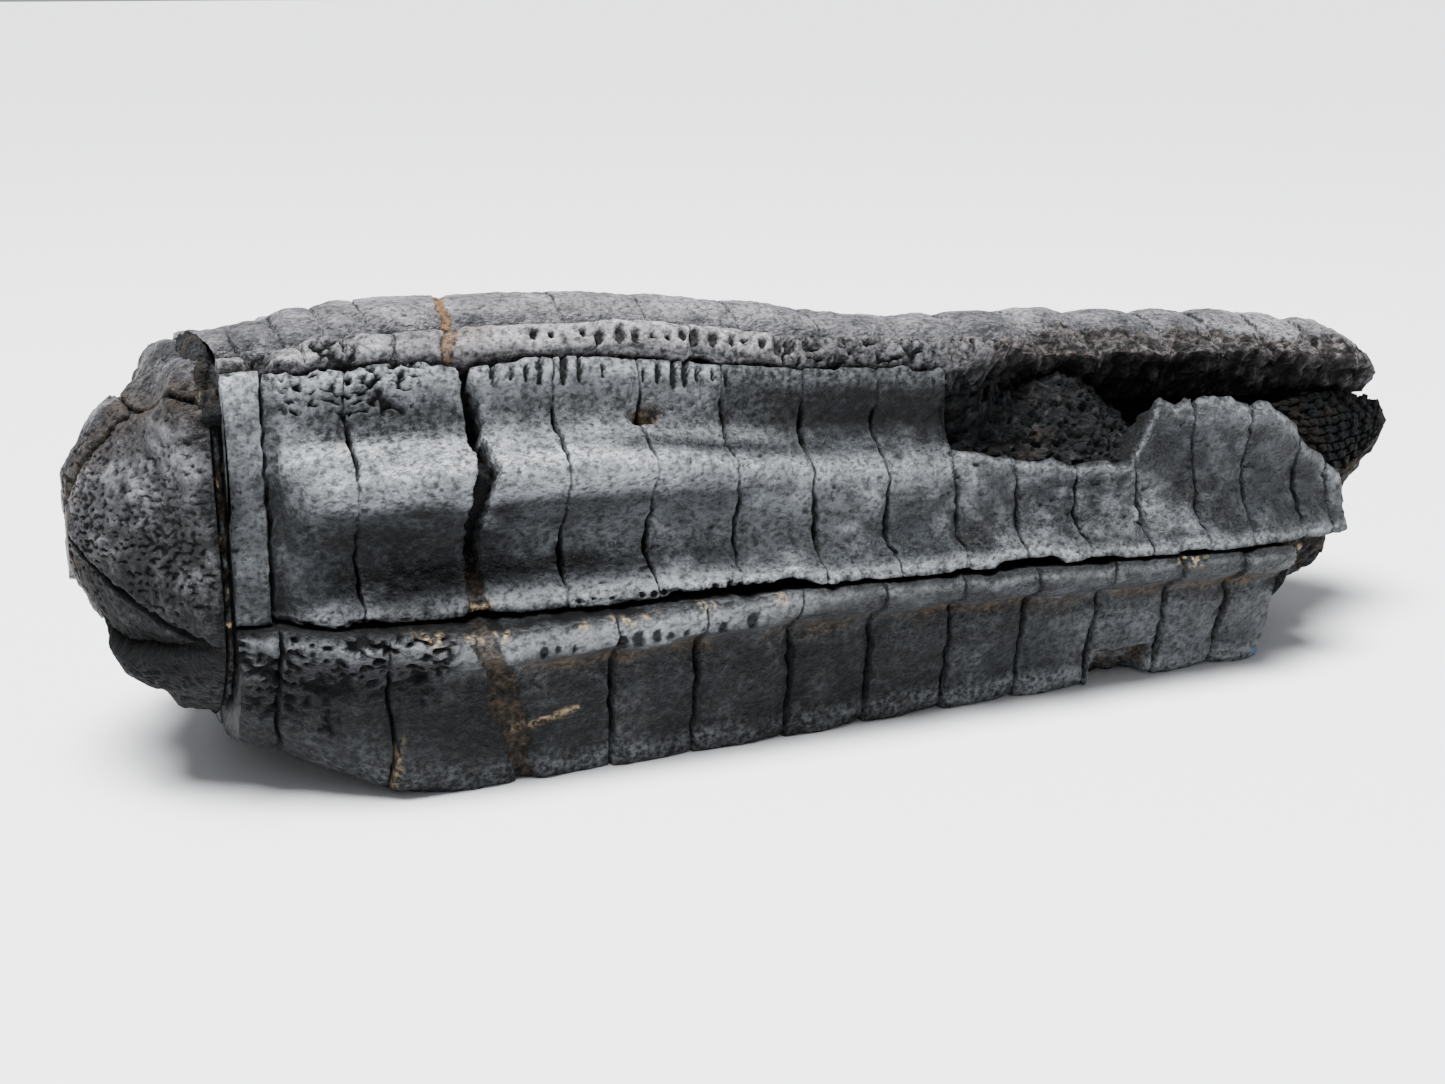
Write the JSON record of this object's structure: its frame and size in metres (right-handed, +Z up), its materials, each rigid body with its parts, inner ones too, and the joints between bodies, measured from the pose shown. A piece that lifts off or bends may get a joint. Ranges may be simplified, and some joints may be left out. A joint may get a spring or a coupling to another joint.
{
  "type": "fossil crinoid crown",
  "caption": "Fossil crown of a sea lily, closed and lying on its side: a plated cup, broad pitted arms and the hardened sediment between them.",
  "frame": {"origin": "on the floor under the middle of the crown's bounding box", "axes": "+X from the cup to the arm tips, +Z up as the fossil lies, -Y the side with the broken arm"},
  "size_m": [0.1964, 0.062, 0.0563],
  "materials": {
    "cup_stone": "matte",
    "plate_stone": "matte",
    "sediment": "matte"
  },
  "bodies": {
    "root": {"cup": "cup_stone", "arm_front": "plate_stone", "arm_top": "plate_stone", "arm_rear_high": "plate_stone", "arm_rear_low": "plate_stone", "arm_front_low": "plate_stone", "matrix_fill": "sediment"}
  },
  "joints": []
}
